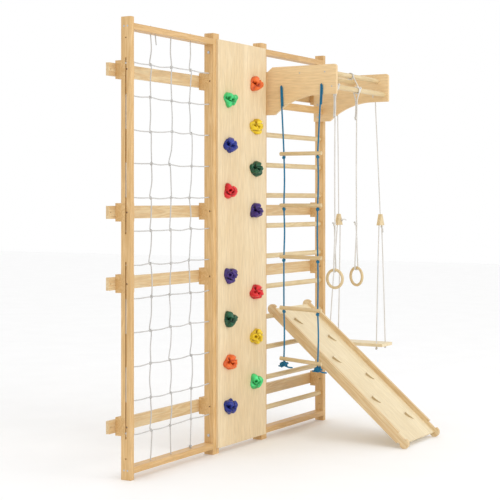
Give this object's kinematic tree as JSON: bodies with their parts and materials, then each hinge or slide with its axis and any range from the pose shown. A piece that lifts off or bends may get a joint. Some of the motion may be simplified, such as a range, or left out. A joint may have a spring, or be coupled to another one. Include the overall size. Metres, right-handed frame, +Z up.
{
  "type": "rock climbing wall",
  "caption": "Indoor wooden climbing wall with a rope net, a board with coloured holds, wall bars, overhead rope ladder, rings and swing, and a hook-on slide",
  "frame": {"origin": "on the floor, at the middle of the unit's footprint", "axes": "+X along the wall, from the net towards the wall bars; +Y towards the wall; +Z up"},
  "size_m": [2.1, 0.9214, 2.2],
  "materials": {
    "post_wood": "satin",
    "bar_wood": "satin",
    "board_wood": "satin",
    "ring_wood": "satin",
    "white_rope": "matte",
    "blue_rope": "matte",
    "steel": "satin",
    "plastic_light_green": "matte",
    "plastic_blue": "matte",
    "plastic_red": "matte",
    "plastic_purple": "matte",
    "plastic_dark_green": "matte",
    "plastic_orange": "matte",
    "plastic_yellow": "matte"
  },
  "bodies": {
    "frame": {"net_post_left_upper": "post_wood", "net_post_left_lower": "post_wood", "net_post_right_upper": "post_wood", "net_post_right_lower": "post_wood", "board_posts_upper": "post_wood", "board_posts_lower": "post_wood", "bars_post_left_upper": "post_wood", "bars_post_left_lower": "post_wood", "bars_post_right_upper": "post_wood", "bars_post_right_lower": "post_wood", "net_bars": "post_wood", "board_bars": "post_wood", "ladder_bars": "post_wood", "rungs_upper": "bar_wood", "rungs_lower": "bar_wood", "wall_rail_bottom": "post_wood", "wall_rail_low_mid": "post_wood", "wall_rail_high_mid": "post_wood", "wall_rail_top": "post_wood", "spacer_blocks": "post_wood", "board_upper": "board_wood", "board_lower": "board_wood", "holds_light_green": "plastic_light_green", "holds_blue": "plastic_blue", "holds_red": "plastic_red", "holds_purple": "plastic_purple", "holds_dark_green": "plastic_dark_green", "holds_orange": "plastic_orange", "holds_yellow": "plastic_yellow", "hold_bolts": "steel", "net_rows": "white_rope", "net_uprights": "white_rope", "net_knots": "white_rope", "plate_left": "board_wood", "plate_right": "board_wood", "overhead_dowels": "bar_wood", "cross_bar": "bar_wood", "ring_hangers": "white_rope", "rope_stops": "blue_rope", "frame_bolts": "steel", "bar_screws": "steel", "post_pins": "steel"},
    "slide": {"slide_bed": "board_wood", "slide_side_left": "post_wood", "slide_side_right": "post_wood", "slide_grips": "board_wood", "slide_battens": "post_wood"},
    "rope_ladder": {"ladder_rungs": "bar_wood", "ladder_knots": "blue_rope", "ladder_rope_rear": "blue_rope", "ladder_rope_front": "blue_rope"},
    "swing": {"swing_seat": "board_wood", "swing_adjusters": "post_wood", "swing_rope_rear": "white_rope", "swing_rope_front": "white_rope", "swing_knots": "white_rope"},
    "left_ring": {"ring_left": "ring_wood", "ring_left_cord": "white_rope"},
    "right_ring": {"ring_right": "ring_wood", "ring_right_cord": "white_rope"}
  },
  "joints": [
    {"name": "slide_lift", "type": "hinge", "parent": "frame", "child": "slide", "pos_m": [0.6055, 0.38123, 0.675], "axis": [-1, 0, 0], "range_deg": [0, 45]},
    {"name": "rope_ladder_swing", "type": "hinge", "parent": "frame", "child": "rope_ladder", "pos_m": [0.2835, 0.13373, 1.96], "axis": [0, 1, 0], "range_deg": [0, 35]},
    {"name": "swing_away", "type": "hinge", "parent": "frame", "child": "swing", "pos_m": [0.976, 0.13373, 1.96], "axis": [0, -1, 0], "range_deg": [0, 35]},
    {"name": "left_ring_swing", "type": "hinge", "parent": "frame", "child": "left_ring", "pos_m": [0.325, -0.05427, 1.946], "axis": [-1, 0, 0], "range_deg": [-12, 45]},
    {"name": "right_ring_swing", "type": "hinge", "parent": "frame", "child": "right_ring", "pos_m": [0.592, -0.05427, 1.946], "axis": [-1, 0, 0], "range_deg": [-12, 45]}
  ]
}
